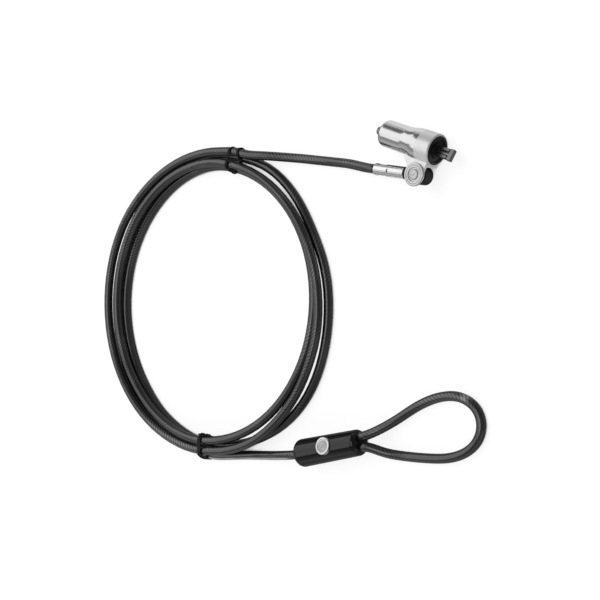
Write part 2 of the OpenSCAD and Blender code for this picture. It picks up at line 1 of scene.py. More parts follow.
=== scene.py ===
"""Dresses the laptop cable lock: its cable, ties, sleeve and lock head, with the stage they lie on.

Lengths are in metres. +X runs along the lock barrel to its tip, and +Z is up.
"""
import json
import math

import bpy
from mathutils import Matrix, Vector


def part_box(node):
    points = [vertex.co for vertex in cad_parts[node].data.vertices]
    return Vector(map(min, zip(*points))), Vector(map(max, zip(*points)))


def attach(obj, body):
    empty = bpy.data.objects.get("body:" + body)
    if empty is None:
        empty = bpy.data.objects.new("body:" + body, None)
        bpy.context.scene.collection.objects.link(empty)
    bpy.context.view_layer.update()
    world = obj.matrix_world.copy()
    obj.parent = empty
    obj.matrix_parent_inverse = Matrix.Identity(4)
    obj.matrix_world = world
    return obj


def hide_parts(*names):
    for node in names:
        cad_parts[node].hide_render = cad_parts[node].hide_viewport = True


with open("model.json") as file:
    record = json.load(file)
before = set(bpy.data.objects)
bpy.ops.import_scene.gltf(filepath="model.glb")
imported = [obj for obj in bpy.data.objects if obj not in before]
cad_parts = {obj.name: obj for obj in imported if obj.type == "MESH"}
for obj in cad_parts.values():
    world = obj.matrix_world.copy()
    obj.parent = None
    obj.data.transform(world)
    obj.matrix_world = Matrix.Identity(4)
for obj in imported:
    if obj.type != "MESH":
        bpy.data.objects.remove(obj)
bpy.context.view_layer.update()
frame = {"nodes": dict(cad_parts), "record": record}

bl_info = {
    "name": "Laptop Cable Lock",
    "version": (1, 0, 0),
    "blender": (4, 5, 0),
    "location": "View3D > Sidebar > Cable Lock",
    "description": "Makes the looks of a laptop cable lock: cable, ties, sleeve, lock head and stage",
    "category": "Object",
}

# Where the pieces sit
JOINTS = {joint["name"]: joint for joint in frame["record"]["behaviour"]["joints"]}
HINGE = Vector(JOINTS["head_pivot"]["pos_m"])
CABLE_DIR = math.radians(190)
EXIT_REACH = 0.0232
CABLE_EXIT = HINGE + Vector((math.cos(CABLE_DIR), math.sin(CABLE_DIR), 0)) * EXIT_REACH
SLEEVE = Vector((0.0012, -0.1271, 0.006))
SLEEVE_DIR = math.radians(32.5)
SLEEVE_HALF = 0.017
LEG_GAP = 0.0044

# The ties: each with its angle round the coil, share of the full width, lean, and where its two ends are
# twisted, in how many turns and of what radius
TIES = (
    ("tie_top", 98.1, 0.75, -0.1, (-0.0922, -0.0328, 0.0068), 3, 0.0017),
    ("tie_bottom", 286.2, 1.0, 0.08, (-0.0674, -0.1519, 0.0073), 4, 0.0011))
TIE_WIRE = 0.0011
TIE_BORE_R = 0.0021
TIE_RIB = 0.00025
TIE_BEVEL = 0.00012
TIE_OUTLINE_POINTS = 72
# The top tie's band round the lead, and the bottom tie's loose end
LEAD_BAND = (-0.0904, -0.0249, 0.0067)
LEAD_BAND_DIR = (0.94, 0.28, 0.06)
LEAD_BAND_R = 0.0023
LEAD_BAND_WIDTH = 0.0012
TIE_TAIL = ((-0.0712, -0.1615, 0.006), (-0.0712, -0.1632, 0.0046), (-0.0706, -0.1643, 0.0032),
            (-0.0696, -0.1646, 0.0023), (-0.0682, -0.1642, 0.002), (-0.0665, -0.1635, 0.002),
            (-0.0648, -0.1627, 0.0021))
TIE_TAIL_R = 0.0005
TIE_TAIL_STEP = 0.0005

# The coil
COIL_CENTRE = Vector((-0.0861, -0.0942, 0))
UPPER_SHIFT = Vector((-0.0013, -0.0015, 0))
COIL_R = 0.0694
COIL_PITCH = 0.0046
COIL_LOW = 0.00205
COIL_RISE = 0.00425
TIE_LIFT = 0.0007
START_ANGLE = 110
TIE_ANGLES = (100.6, 283.7)
CLOSE_ANGLES = (117, 282)
COIL_TURNS = 3.5
COIL_FROM = -0.5 / 24
COIL_TO = COIL_FROM + COIL_TURNS
COIL_SAMPLES = 88
# Places where a turn strays from its circle: turn, reach and shift
COIL_STRAYS = ((0.1, 0.05, -0.0008), (0.22, 0.08, -0.0004), (0.52, 0.08, -0.0006), (0.62, 0.04, -0.0008),
               (0.68, 0.03, -0.0006), (1.52, 0.06, -0.0005), (2.64, 0.08, 0.0026), (2.83, 0.04, -0.0014),
               (2.92, 0.03, 0.0005))

# The free stretches, and the step of the points where one stretch runs straight into the next
RUN = 0.004
LEAD = ((-0.0315, -0.0127, 0.004), (-0.0405, -0.0144, 0.0025), (-0.0495, -0.0162, 0.0021),
        (-0.0585, -0.018, 0.0024), (-0.0675, -0.02, 0.0035), (-0.0765, -0.0221, 0.0052),
        (-0.0855, -0.0243, 0.0064))
TAIL = ((-0.0465, -0.1526, 0.00205), (-0.0385, -0.149, 0.0022), (-0.0315, -0.1458, 0.0032),
        (-0.0255, -0.1429, 0.0048))
LOOP = ((0.0185, -0.1128, 0.0053), (0.0221, -0.109, 0.0041), (0.0255, -0.105, 0.0031),
        (0.0288, -0.1008, 0.0024), (0.0321, -0.0966, 0.0021), (0.0358, -0.0926, 0.00205),
        (0.0398, -0.089, 0.00205), (0.0442, -0.086, 0.00205), (0.049, -0.0838, 0.00205),
        (0.0543, -0.0831, 0.00205), (0.0595, -0.0844, 0.00205), (0.0634, -0.0881, 0.00205),
        (0.0648, -0.0932, 0.00205), (0.0637, -0.0984, 0.00205), (0.0607, -0.1028, 0.00205),
        (0.0567, -0.1063, 0.00205), (0.052, -0.1091, 0.00205), (0.0471, -0.1113, 0.00205),
        (0.0421, -0.1133, 0.00205), (0.0371, -0.1151, 0.0022), (0.032, -0.1167, 0.0027),
        (0.0269, -0.1179, 0.0037), (0.0217, -0.1184, 0.0051))
LEG_STRAIGHT = 0.0015

# The jacket: the corner of the coil where it is clearest, along X with its softness and along Y, the side of
# the tail where a pale reflection of the white table is painted, in strands round the cable, and the painted
# highlight on the loop with its reach
CLEAREST_X = (-0.106, -0.068, 0.007)
CLEAREST_Y = (-0.157, -0.162)
SHINE_SIDE = -0.25
SHINE_SPOT_AT = (0.0543, -0.0812, 0.0032)
SHINE_SPOT_REACH = (0.0032, 0.0008)
# The pale colour painted on for the tail's table reflection and the loop's highlight
SHINE_COLOUR = (0.48, 0.48, 0.48, 1)

# The barrel's collar: where its satin finish starts along X, over what length, and how it differs
SATIN_FROM = 0.0044
SATIN_EDGE = 0.0008
SATIN_ROUGHER = 0.16
SATIN_DULLER = 0.5

# Turned faces: the reach that stands at 1, and each face's levels from the middle outwards, with the place
# of each as a share of that reach
TURNED_REACH = 0.005
CAP_LEVELS = ((0.0, 0.46), (0.2, 0.66), (0.36, 0.54), (0.5, 0.70), (0.66, 0.70), (0.74, 0.34), (0.80, 0.74))
BADGE_LEVELS = ((0.0, 0.36), (0.24, 0.5), (0.46, 0.36), (0.54, 0.84), (0.76, 0.9))

# The ferrule's dark bands, as shares of its radius to one side: from, to, softness and depth; the first,
# along its edge toward +Y, is a painted dark reflection, and the second is a fainter dark line
FERRULE_SIDE = (-0.172, 0.974, -0.149)
FERRULE_R = 0.0025
FERRULE_DARK_BANDS = ((0.66, 1.2, 0.05, 0.8), (-0.34, -0.22, 0.03, 0.45))

# The camera: the place it looks at, its distance, how far it is tilted up and turned, and its lens in mm
CAMERA_AIM = (-0.0408, -0.0764, 0)
CAMERA_DISTANCE = 0.553
CAMERA_TILT = math.radians(49)
CAMERA_TURN = math.radians(20)
CAMERA_LENS = 76.4
CAMERA_SENSOR = 36

# The lamps, with their places and sizes
LAMPS = (("key_softbox", (-0.35, 0.25, 0.75), (0.5, 0.9)), ("fill_softbox", (0.55, -0.75, 0.6), (0.6, 0.6)))
LAMP_AIM = Vector((-0.04, -0.08, 0))
FLOOR_SIZE = 6
FLOOR_COLOUR = (0.2, 0.2, 0.2, 1)

# Bands of the table that the lock head mirrors as bright, along X and Y, each as from, to and softness, but
# the one behind the head as from and to along Y, and what share the one before it has
GLOW_BEHIND = ((-0.12, 0.015, 0.01), (0.004, 0.014))
GLOW_BEFORE = ((-0.026, -0.003, 0.003), (-0.05, -0.004, 0.003))
GLOW_AHEAD = ((0.0115, 0.0195, 0.001), (-0.014, 0.002, 0.003))
GLOW_BEFORE_SHARE = 0.7
# Painted shade in the gaps between the strands, where the table's glow is taken out: how far off a wall
# counts, how open a gap is where the glow starts and where it is full, where the coil's left side starts
# along X and is full, and what is added there to the reach and to the openness, painting the shade deeper
GAP_REACH = 0.0042
GAP_OPENNESS = (0.2, 0.4)
LEFT_SIDE = (-0.1, -0.12)
LEFT_REACH = 0.0035
LEFT_OPENNESS = -0.15

# Bright shapes in the surroundings, in degrees: turn from and to, rise from and to, and softness
HEAD_GLOW_BOX = (-85, -42, -90, 13, 2)
LONG_SOFTBOX = (-39, 15, 14, 64, 2)
HIGH_SOFTBOX = (15, 60, 41, 64, 3)
OVERHEAD_BOX = (-400, 400, 72, 200, 3)
# The low side: the turn over which it starts, and the rises over which it fades and ends
LOW_TURN = (10, 30)
LOW_FADE = (42, 8)
LOW_END = (50, 46)


# ---------------------------------------------------------------- settings

class CableSettings(bpy.types.PropertyGroup):
    """Sizes and colours of the cable, and sizes of its ties."""
    diameter: bpy.props.FloatProperty(
        name="Diameter", description="Diameter of the cable over its jacket", default=0.004, unit="LENGTH")
    strand_step: bpy.props.FloatProperty(
        name="Strand step", description="Distance between strands along the cable",
        default=0.0017, unit="LENGTH")
    strands: bpy.props.IntProperty(
        name="Strands", description="Strands round the wire rope", default=6, min=3, max=12)
    sides: bpy.props.IntProperty(
        name="Sides", description="Faces round the cable", default=20, min=8, max=32)
    tie_width: bpy.props.FloatProperty(
        name="Tie width", description="Width of a tie's strap", default=0.0021, unit="LENGTH")
    tie_thickness: bpy.props.FloatProperty(
        name="Tie thickness", description="Thickness of a tie's strap", default=0.0005, unit="LENGTH")
    crown: bpy.props.FloatVectorProperty(
        name="Strand colour", description="Colour of the strands' crowns", subtype="COLOR",
        size=3, default=(0.18, 0.181, 0.184))
    mid: bpy.props.FloatVectorProperty(
        name="Flank colour", description="Colour of the strands' flanks", subtype="COLOR",
        size=3, default=(0.036, 0.0365, 0.038))
    groove: bpy.props.FloatVectorProperty(
        name="Groove colour", description="Colour between the strands", subtype="COLOR",
        size=3, default=(0.004, 0.004, 0.005))
    # The stretch of the tail where a pale reflection of the white table is painted on its underside
    shine_from: bpy.props.FloatProperty(
        name="Shine from", description="Distance along the cable where its pale underside starts",
        default=1.527, unit="LENGTH")
    shine_to: bpy.props.FloatProperty(
        name="Shine to", description="Distance along the cable where its pale underside ends",
        default=1.583, unit="LENGTH")


class StageSettings(bpy.types.PropertyGroup):
    """Strengths of the lamps and the surroundings."""
    key: bpy.props.FloatProperty(name="Key", description="Power of the key lamp", default=4.0)
    fill: bpy.props.FloatProperty(name="Fill", description="Power of the fill lamp", default=3.5)
    sky: bpy.props.FloatProperty(name="Sky", description="Level of the surroundings", default=0.14)
    low_side: bpy.props.FloatProperty(
        name="Low side", description="Level of the surroundings low down on the hinge's side", default=0.5)
    softbox: bpy.props.FloatProperty(name="Softbox", description="Level of the long softbox", default=1.1)
    overhead: bpy.props.FloatProperty(
        name="Overhead", description="Level of the overhead softbox", default=1.6)
    floor_glow: bpy.props.FloatProperty(
        name="Floor glow", description="Glow that the camera sees on the floor", default=0.84)
    floor_mirrored: bpy.props.FloatProperty(
        name="Floor mirrored", description="Glow that glossy surfaces mirror from the floor", default=0.06)
    head_glow: bpy.props.FloatProperty(
        name="Head glow", description="Glow that the lock head mirrors from beside it", default=0.55)


# ---------------------------------------------------------------- mesh helpers

def deselect():
    """Leaves nothing selected, because an operator acts on all that is."""
    for o in bpy.context.selected_objects:
        o.select_set(False)


def make_active(obj):
    deselect()
    obj.select_set(True)
    bpy.context.view_layer.objects.active = obj


def settle(obj, name, material, body, *nodes, slot=None):
    """Applies a finished piece's place, names it, gives it its material and puts it on its body."""
    make_active(obj)
    bpy.ops.object.transform_apply(location=True, rotation=True, scale=True)
    obj.name = name
    obj.data.name = name
    obj.data.materials.clear()
    obj.data.materials.append(material)
    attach(obj, body)
    if nodes:
        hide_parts(*nodes)


def mesh_object(name, points, faces):
    """A new object of the points and faces, in the scene."""
    data = bpy.data.meshes.new(name)
    data.from_pydata([tuple(p) for p in points], [], faces)
    obj = bpy.data.objects.new(name, data)
    bpy.context.scene.collection.objects.link(obj)
    return obj


def smooth_step(s):
    """Nought before 0, one after 1, and a smooth rise between them."""
    s = min(1.0, max(0.0, s))
    return s * s * (3 - 2 * s)


def apart(a, b):
    """The angle between two directions, in degrees."""
    return abs((a - b + 180) % 360 - 180)


def near(angles, a, reach):
    """One at any of the angles, dying away over the reach."""
    return max(math.exp(-(apart(a, at) / reach) ** 2) for at in angles)


# ---------------------------------------------------------------- the cable's route

def coil_point(t):
    """The coil at t turns from its top: in on the upper layer, down where it reverses, out on the lower."""
    angle = START_ANGLE + 360 * t
    if t < 1.5:
        step = -COIL_PITCH * t
    elif t < 2:
        step = -COIL_PITCH * 1.5
    else:
        step = -COIL_PITCH * 1.5 + COIL_PITCH * (t - 2)
    middle = -COIL_PITCH * 0.75
    loose = 1 + 0.5 * (1 - near(CLOSE_ANGLES, angle, 32))
    radius = COIL_R + middle + (step - middle) * loose
    radius += sum(shift * math.exp(-((t - turn) / reach) ** 2) for turn, reach, shift in COIL_STRAYS)
    layer = 1 - smooth_step((t - 1.5) / 0.5)
    a = math.radians(angle)
    p = COIL_CENTRE + UPPER_SHIFT * layer + Vector((math.cos(a), math.sin(a), 0)) * radius
    p.z = COIL_LOW + TIE_LIFT * near(TIE_ANGLES, angle, 12) + COIL_RISE * layer
    return p


def coil_heading(t):
    """The way the coil runs at t turns, seen from above."""
    d = coil_point(t + 0.001) - coil_point(t - 0.001)
    d.z = 0
    return d.normalized()


def flow(points, step=0.0014):
    """A smooth line through the points (centripetal Catmull-Rom), with a point about every step."""
    pts = [points[0] * 2 - points[1]] + list(points) + [points[-1] * 2 - points[-2]]
    line = []
    for i in range(1, len(pts) - 2):
        p0, p1, p2, p3 = pts[i - 1:i + 3]
        t0 = 0.0
        t1 = t0 + math.sqrt((p1 - p0).length)
        t2 = t1 + math.sqrt((p2 - p1).length)
        t3 = t2 + math.sqrt((p3 - p2).length)
        n = max(1, round((p2 - p1).length / step))
        for k in range(n):
            t = t1 + (t2 - t1) * k / n
            a1 = p0 * ((t1 - t) / (t1 - t0)) + p1 * ((t - t0) / (t1 - t0))
            a2 = p1 * ((t2 - t) / (t2 - t1)) + p2 * ((t - t1) / (t2 - t1))
            a3 = p2 * ((t3 - t) / (t3 - t2)) + p3 * ((t - t2) / (t3 - t2))
            b1 = a1 * ((t2 - t) / (t2 - t0)) + a2 * ((t - t0) / (t2 - t0))
            b2 = a2 * ((t3 - t) / (t3 - t1)) + a3 * ((t - t1) / (t3 - t1))
            line.append(b1 * ((t2 - t) / (t2 - t1)) + b2 * ((t - t1) / (t2 - t1)))
    line.append(points[-1])
    return line


def relaxed(line, rounds=40):
    """The line with its kinks eased out: it is drawn in and let out by turns, so bends keep their size."""
    points = [p.copy() for p in line]
    for weight in (0.5, -0.53) * rounds:
        points[1:-1] = [p.lerp((a + b) / 2, weight) for a, p, b in zip(points, points[1:], points[2:])]
    return points


def cable_route():
    """The whole cable, from the ferrule through the coil and the sleeve, round the loop and back."""
    out = Vector((math.cos(CABLE_DIR), math.sin(CABLE_DIR), 0))
    along = Vector((math.cos(SLEEVE_DIR), math.sin(SLEEVE_DIR), 0))
    side = Vector((-along.y, along.x, 0)) * (LEG_GAP / 2)
    first, last = coil_point(COIL_FROM), coil_point(COIL_TO)
    lead = [CABLE_EXIT, CABLE_EXIT + out * RUN, *map(Vector, LEAD),
            first - coil_heading(COIL_FROM) * 2 * RUN, first]
    coil = [coil_point(COIL_FROM + i / COIL_SAMPLES) for i in range(1, round(COIL_TURNS * COIL_SAMPLES))]
    mouth = SLEEVE - along * SLEEVE_HALF
    exit_leg = SLEEVE + along * SLEEVE_HALF + side
    back_leg = SLEEVE + along * SLEEVE_HALF - side
    tail = [last, last + coil_heading(COIL_TO) * 2 * RUN, *map(Vector, TAIL), mouth - along * RUN, mouth,
            mouth + along * 2 * RUN + side * 0.5, mouth + along * 4 * RUN + side,
            SLEEVE + along * 2 * RUN + side, exit_leg - along * RUN]
    loop = [exit_leg - along * RUN, exit_leg, exit_leg + along * LEG_STRAIGHT, *map(Vector, LOOP),
            back_leg + along * LEG_STRAIGHT, back_leg, back_leg - along * RUN]
    end = [back_leg - along * RUN, SLEEVE + along * RUN - side, SLEEVE - along * RUN - side]
    return flow(lead)[:-1] + [first] + coil + flow(tail)[:-1] + relaxed(flow(loop))[:-1] + flow(end)


def line_length(line):
    """The length along the line's points."""
    return sum((b - a).length for a, b in zip(line, line[1:]))


def swept_tube(name, line, radius, sides, strand_step, strands):
    """A tube of quads round the line, with a UV map that counts strand steps along and strands round."""
    rows = len(line)
    frames = []
    side = None
    for i, p in enumerate(line):
        t = (line[min(i + 1, rows - 1)] - line[max(i - 1, 0)]).normalized()
        if side is None:
            side = t.cross(Vector((0, 0, 1))).normalized()
        side = (side - t * side.dot(t)).normalized()
        frames.append((p, side.copy(), side.cross(t)))
    turns = [(math.cos(2 * math.pi * k / sides), math.sin(2 * math.pi * k / sides)) for k in range(sides)]
    points = [p + (s * across + u * up) * radius for p, s, u in frames for across, up in turns]
    faces = []
    for i in range(rows - 1):
        for k in range(sides):
            here, beside = i * sides + k, i * sides + (k + 1) % sides
            faces.append((here, beside, beside + sides, here + sides))
    faces.append(tuple(reversed(range(sides))))
    faces.append(tuple(range((rows - 1) * sides, rows * sides)))
    obj = mesh_object(name, points, faces)
    reach = [0.0]
    for a, b in zip(line, line[1:]):
        reach.append(reach[-1] + (b - a).length / strand_step)
    uv = obj.data.uv_layers.new(name="UVMap")
    for poly in obj.data.polygons:
        n = poly.index
        ends = n >= (rows - 1) * sides
        for loop in poly.loop_indices:
            v = obj.data.loops[loop].vertex_index
            i, k = divmod(v, sides)
            if not ends and k == 0 and n % sides == sides - 1:
                k = sides
            uv.data[loop].uv = (reach[i], strands * k / sides)
        poly.use_smooth = not ends
    obj.data.update()
    return obj


# ---------------------------------------------------------------- materials

class Nodes:
    """Adds and joins the nodes of one material or group."""

    def __init__(self, tree):
        self.tree = tree

    def add(self, kind, **values):
        node = self.tree.nodes.new(kind)
        for key, value in values.items():
            if not hasattr(node, key):
                raise KeyError(f"{kind} has no {key}")
            setattr(node, key, value)
        return node

    def join(self, a, b):
        self.tree.links.new(a, b)

    def math(self, operation, *terms):
        """A sum on sockets and plain numbers."""
        node = self.add("ShaderNodeMath", operation=operation)
        for socket, term in zip(node.inputs, terms):
            if isinstance(term, (int, float)):
                socket.default_value = term
            else:
                self.join(term, socket)
        return node.outputs[0]

    def times(self, a, b):
        return self.math("MULTIPLY", a, b)

    def larger(self, a, b):
        return self.math("MAXIMUM", a, b)

    def vector(self, operation, a, b=None):
        """A vector sum on a socket and a plain vector."""
        node = self.add("ShaderNodeVectorMath", operation=operation)
        self.join(a, node.inputs[0])
        if b is not None:
            node.inputs[1].default_value = b
        return node.outputs["Value" if operation in {"DOT_PRODUCT", "LENGTH", "DISTANCE"} else "Vector"]

    def split(self, vector):
        node = self.add("ShaderNodeSeparateXYZ")
        self.join(vector, node.inputs[0])
        return node.outputs

    def place(self):
        """The place on the piece, in Object coordinates."""
        return self.add("ShaderNodeTexCoord").outputs["Object"]

    def step(self, value, low, high):
        """Nought at the low level and one at the high one, with a smooth rise between them."""
        node = self.add("ShaderNodeMapRange", interpolation_type="SMOOTHSTEP")
        node.inputs["From Min"].default_value = low
        node.inputs["From Max"].default_value = high
        self.join(value, node.inputs["Value"])
        return node.outputs["Result"]

    def between(self, value, low, high, soft):
        """One between two levels and nought outside them, with soft edges."""
        up = self.step(value, low - soft, low + soft)
        return self.math("SUBTRACT", up, self.step(value, high - soft, high + soft))

    def ramp(self, value, *stops):
        """A colour ramp through stops of position and colour, where a single number is a grey."""
        node = self.add("ShaderNodeValToRGB")
        band = node.color_ramp
        while len(band.elements) < len(stops):
            band.elements.new(0.5)
        for element, (position, colour) in zip(band.elements, stops):
            element.position = position
            colour = grey(colour) if isinstance(colour, (int, float)) else tuple(colour)
            element.color = (*colour, 1)
        self.join(value, node.inputs[0])
        return node.outputs[0]

    def grain(self, fine, broad):
        """The shared grain on this piece: its clouds and its height."""
        node = self.add("ShaderNodeGroup", node_tree=grain_group())
        node.inputs["Fine Scale"].default_value = fine
        node.inputs["Broad Scale"].default_value = broad
        self.join(self.place(), node.inputs["Vector"])
        return node.outputs["Clouds"], node.outputs["Height"]

    def relief(self, bsdf, height, strength, depth):
        """Turns a height into fine relief on the shader."""
        node = self.add("ShaderNodeBump")
        node.inputs["Strength"].default_value = strength
        node.inputs["Distance"].default_value = depth
        self.join(height, node.inputs["Height"])
        self.join(node.outputs["Normal"], bsdf.inputs["Normal"])


def grey(level):
    return (level, level, level)


def new_material(name):
    """A new material, its nodes and its shader."""
    mat = bpy.data.materials.new(name)
    mat.use_nodes = True
    return mat, Nodes(mat.node_tree), mat.node_tree.nodes["Principled BSDF"]


def grain_group():
    """Shared grain: broad clouds for a mask, and the height of fine noise."""
    group = bpy.data.node_groups.get("Fine Grain")
    if group:
        return group
    group = bpy.data.node_groups.new("Fine Grain", "ShaderNodeTree")
    face = group.interface
    face.new_socket("Vector", in_out="INPUT", socket_type="NodeSocketVector")
    for name, value in (("Fine Scale", 1500.0), ("Broad Scale", 120.0)):
        face.new_socket(name, in_out="INPUT", socket_type="NodeSocketFloat").default_value = value
    face.new_socket("Clouds", in_out="OUTPUT", socket_type="NodeSocketFloat")
    face.new_socket("Height", in_out="OUTPUT", socket_type="NodeSocketFloat")
    n = Nodes(group)
    get, put = n.add("NodeGroupInput"), n.add("NodeGroupOutput")
    fine = n.add("ShaderNodeTexNoise")
    broad = n.add("ShaderNodeTexNoise")
    broad.inputs["Detail"].default_value = 4
    for node, socket in ((fine, "Fine Scale"), (broad, "Broad Scale")):
        n.join(get.outputs["Vector"], node.inputs["Vector"])
        n.join(get.outputs[socket], node.inputs["Scale"])
    n.join(broad.outputs["Fac"], put.inputs["Clouds"])
    n.join(fine.outputs["Fac"], put.inputs["Height"])
    return group


def brush_group():
    """Shared turning marks: noise drawn out along one axis, as lathe and brush lines are."""
    group = bpy.data.node_groups.get("Turning Marks")
    if group:
        return group
    group = bpy.data.node_groups.new("Turning Marks", "ShaderNodeTree")
    face = group.interface
    face.new_socket("Vector", in_out="INPUT", socket_type="NodeSocketVector")
    stretch = face.new_socket("Stretch", in_out="INPUT", socket_type="NodeSocketVector")
    stretch.default_value = (4000, 200, 200)
    face.new_socket("Lines", in_out="OUTPUT", socket_type="NodeSocketFloat")
    n = Nodes(group)
    get, put = n.add("NodeGroupInput"), n.add("NodeGroupOutput")
    scale = n.add("ShaderNodeVectorMath", operation="MULTIPLY")
    n.join(get.outputs["Vector"], scale.inputs[0])
    n.join(get.outputs["Stretch"], scale.inputs[1])
    noise = n.add("ShaderNodeTexNoise")
    noise.inputs["Scale"].default_value = 1
    noise.inputs["Detail"].default_value = 3
    n.join(scale.outputs[0], noise.inputs["Vector"])
    n.join(noise.outputs["Fac"], put.inputs["Lines"])
    return group


def with_dark_bands(n, tint, middle, side, radius, dark_bands):
    """The tint darkened in lengthwise bands on a round piece, each at a share of its radius to one side."""
    across = n.vector("DOT_PRODUCT", n.vector("SUBTRACT", n.place(), middle), Vector(side) / radius)
    for low, high, soft, depth in dark_bands:
        dark = n.times(n.between(across, low, high, soft), depth)
        shade = n.add("ShaderNodeVectorMath", operation="SCALE")
        n.join(tint, shade.inputs[0])
        n.join(n.math("SUBTRACT", 1.0, dark), shade.inputs["Scale"])
        tint = shade.outputs[0]
    return tint


def finish_material(name, colour, wear_and_shine, metallic, rough, rough_spread, fine=1500.0, broad=120.0, bump=0.1,
                    lines=None, specular=0.5, satin_from=None, dark_bands=None):
    """A plated, painted or moulded finish: colour clouds, uneven gloss and fine grain or turning marks."""
    mat, n, bsdf = new_material(name)
    clouds, height = n.grain(fine, broad)
    if lines:
        marks = n.add("ShaderNodeGroup", node_tree=brush_group())
        marks.inputs["Stretch"].default_value = lines
        n.join(n.place(), marks.inputs["Vector"])
        height = marks.outputs["Lines"]
    tint = n.ramp(clouds, (0.3, colour), (0.75, wear_and_shine))
    # Dark lengthwise bands: on the ferrule, the first is a painted dark reflection
    if dark_bands:
        tint = with_dark_bands(n, tint, *dark_bands)
    n.join(tint, bsdf.inputs["Base Color"])
    spread = n.add("ShaderNodeMapRange")
    spread.inputs["To Min"].default_value = rough
    spread.inputs["To Max"].default_value = rough + rough_spread
    n.join(height if lines else clouds, spread.inputs["Value"])
    roughness = spread.outputs["Result"]
    if satin_from is None:
        bsdf.inputs["Metallic"].default_value = metallic
    else:
        satin = n.step(n.split(n.place())[0], satin_from, satin_from + SATIN_EDGE)
        roughness = n.math("MULTIPLY_ADD", satin, SATIN_ROUGHER, roughness)
        n.join(n.math("MULTIPLY_ADD", satin, -SATIN_DULLER, metallic), bsdf.inputs["Metallic"])
    n.join(roughness, bsdf.inputs["Roughness"])
    bsdf.inputs["Specular IOR Level"].default_value = specular
    n.relief(bsdf, height, bump, 0.00005)
    return mat


def turned_material(name, middle, levels, rough, ring_step):
    """Metal faced on a lathe: tool rings round an upright axis, and levels that change from ring to ring."""
    mat, n, bsdf = new_material(name)
    away = n.vector("SUBTRACT", n.place(), middle)
    reach = n.vector("LENGTH", n.vector("MULTIPLY", away, (1, 1, 0)))
    rings = n.math("SINE", n.times(reach, 2 * math.pi / ring_step))
    clouds, height = n.grain(1800, 300)
    uneven = n.math("SUBTRACT", clouds, 0.5)
    spot = n.math("MULTIPLY_ADD", uneven, 0.12, n.math("DIVIDE", reach, TURNED_REACH))
    n.join(n.ramp(spot, *levels), bsdf.inputs["Base Color"])
    bsdf.inputs["Metallic"].default_value = 1.0
    n.join(n.math("MULTIPLY_ADD", rings, 0.05, rough), bsdf.inputs["Roughness"])
    n.relief(bsdf, n.math("ADD", rings, height), 0.35, 0.00004)
    return mat


def strand_twist(n, along, around):
    """The height of the twisted strands: a round crown on each, with fine wires across it."""
    lay = n.math("FRACT", n.math("ADD", along, around))
    off = n.math("ABSOLUTE", n.math("SUBTRACT", n.times(lay, 2.0), 1.0))
    crown = n.math("SQRT", n.math("SUBTRACT", 1.02, n.times(off, off)))
    slant = n.math("SUBTRACT", n.times(along, 3.0), around)
    wires = n.math("SINE", n.times(slant, 2 * math.pi))
    return n.math("ADD", crown, n.times(wires, 0.07))


def clear_jacket(n, clouds):
    """How clear the jacket is: in clouds, and clearest at one corner of the coil."""
    x, y, _ = n.split(n.place())
    corner = n.times(n.between(x, *CLEAREST_X), n.step(y, *CLEAREST_Y))
    return n.larger(n.step(clouds, 0.42, 0.66), n.times(corner, 1.9))


def painted_shine(n, settings, along, around, clouds, twist):
    """Painted light: a pale table reflection along one side of the tail, and a pale highlight on the loop."""
    # A pale band painted along one side of the tail: the white table's reflection in the jacket
    tail = n.between(along, settings.shine_from / settings.strand_step,
                     settings.shine_to / settings.strand_step, 1.5)
    turn = n.times(n.math("ADD", around, SHINE_SIDE), 2 * math.pi / settings.strands)
    stripe = n.times(tail, n.step(n.math("COSINE", turn), 0.5, 0.72))
    stripe = n.times(stripe, n.math("MULTIPLY_ADD", n.step(clouds, 0.35, 0.6), 0.4, 0.6))
    # A pale spot painted on the loop: a highlight
    spot = n.step(n.vector("DISTANCE", n.place(), SHINE_SPOT_AT), *SHINE_SPOT_REACH)
    return n.larger(stripe, n.times(spot, n.times(twist, 0.62)))


def cable_material(settings):
    """Twisted steel strands that show through a dark clear jacket, here more and there less."""
    mat, n, bsdf = new_material("Jacketed Wire Rope")
    along, around, _ = n.split(n.add("ShaderNodeTexCoord").outputs["UV"])
    twist = strand_twist(n, along, around)
    clouds, _ = n.grain(900, 70)
    clear = clear_jacket(n, clouds)
    contrast = n.math("MULTIPLY_ADD", clear, 0.9, 0.25)
    shade = n.math("MULTIPLY_ADD", n.math("SUBTRACT", twist, 0.75), contrast, 0.5)
    jacket = n.ramp(shade, (0.0, settings.groove), (0.55, settings.mid), (1.0, settings.crown))
    # Painted light: the tail's pale table reflection and the loop's pale highlight, mixed over the strands
    wear_and_shine = painted_shine(n, settings, along, around, clouds, twist)
    tone = n.add("ShaderNodeMix", data_type="RGBA")
    n.join(wear_and_shine, tone.inputs["Factor"])
    n.join(jacket, tone.inputs["A"])
    tone.inputs["B"].default_value = SHINE_COLOUR
    n.join(tone.outputs["Result"], bsdf.inputs["Base Color"])
    n.join(n.math("MULTIPLY_ADD", wear_and_shine, -0.8, 0.8), bsdf.inputs["Metallic"])
    bsdf.inputs["Roughness"].default_value = 0.36
    bsdf.inputs["Coat Weight"].default_value = 1.0
    bsdf.inputs["Coat Roughness"].default_value = 0.16
    bsdf.inputs["Coat IOR"].default_value = 1.7
    n.relief(bsdf, n.times(twist, n.math("MULTIPLY_ADD", clear, 0.8, 0.2)), 0.2, 0.00025)
    return mat


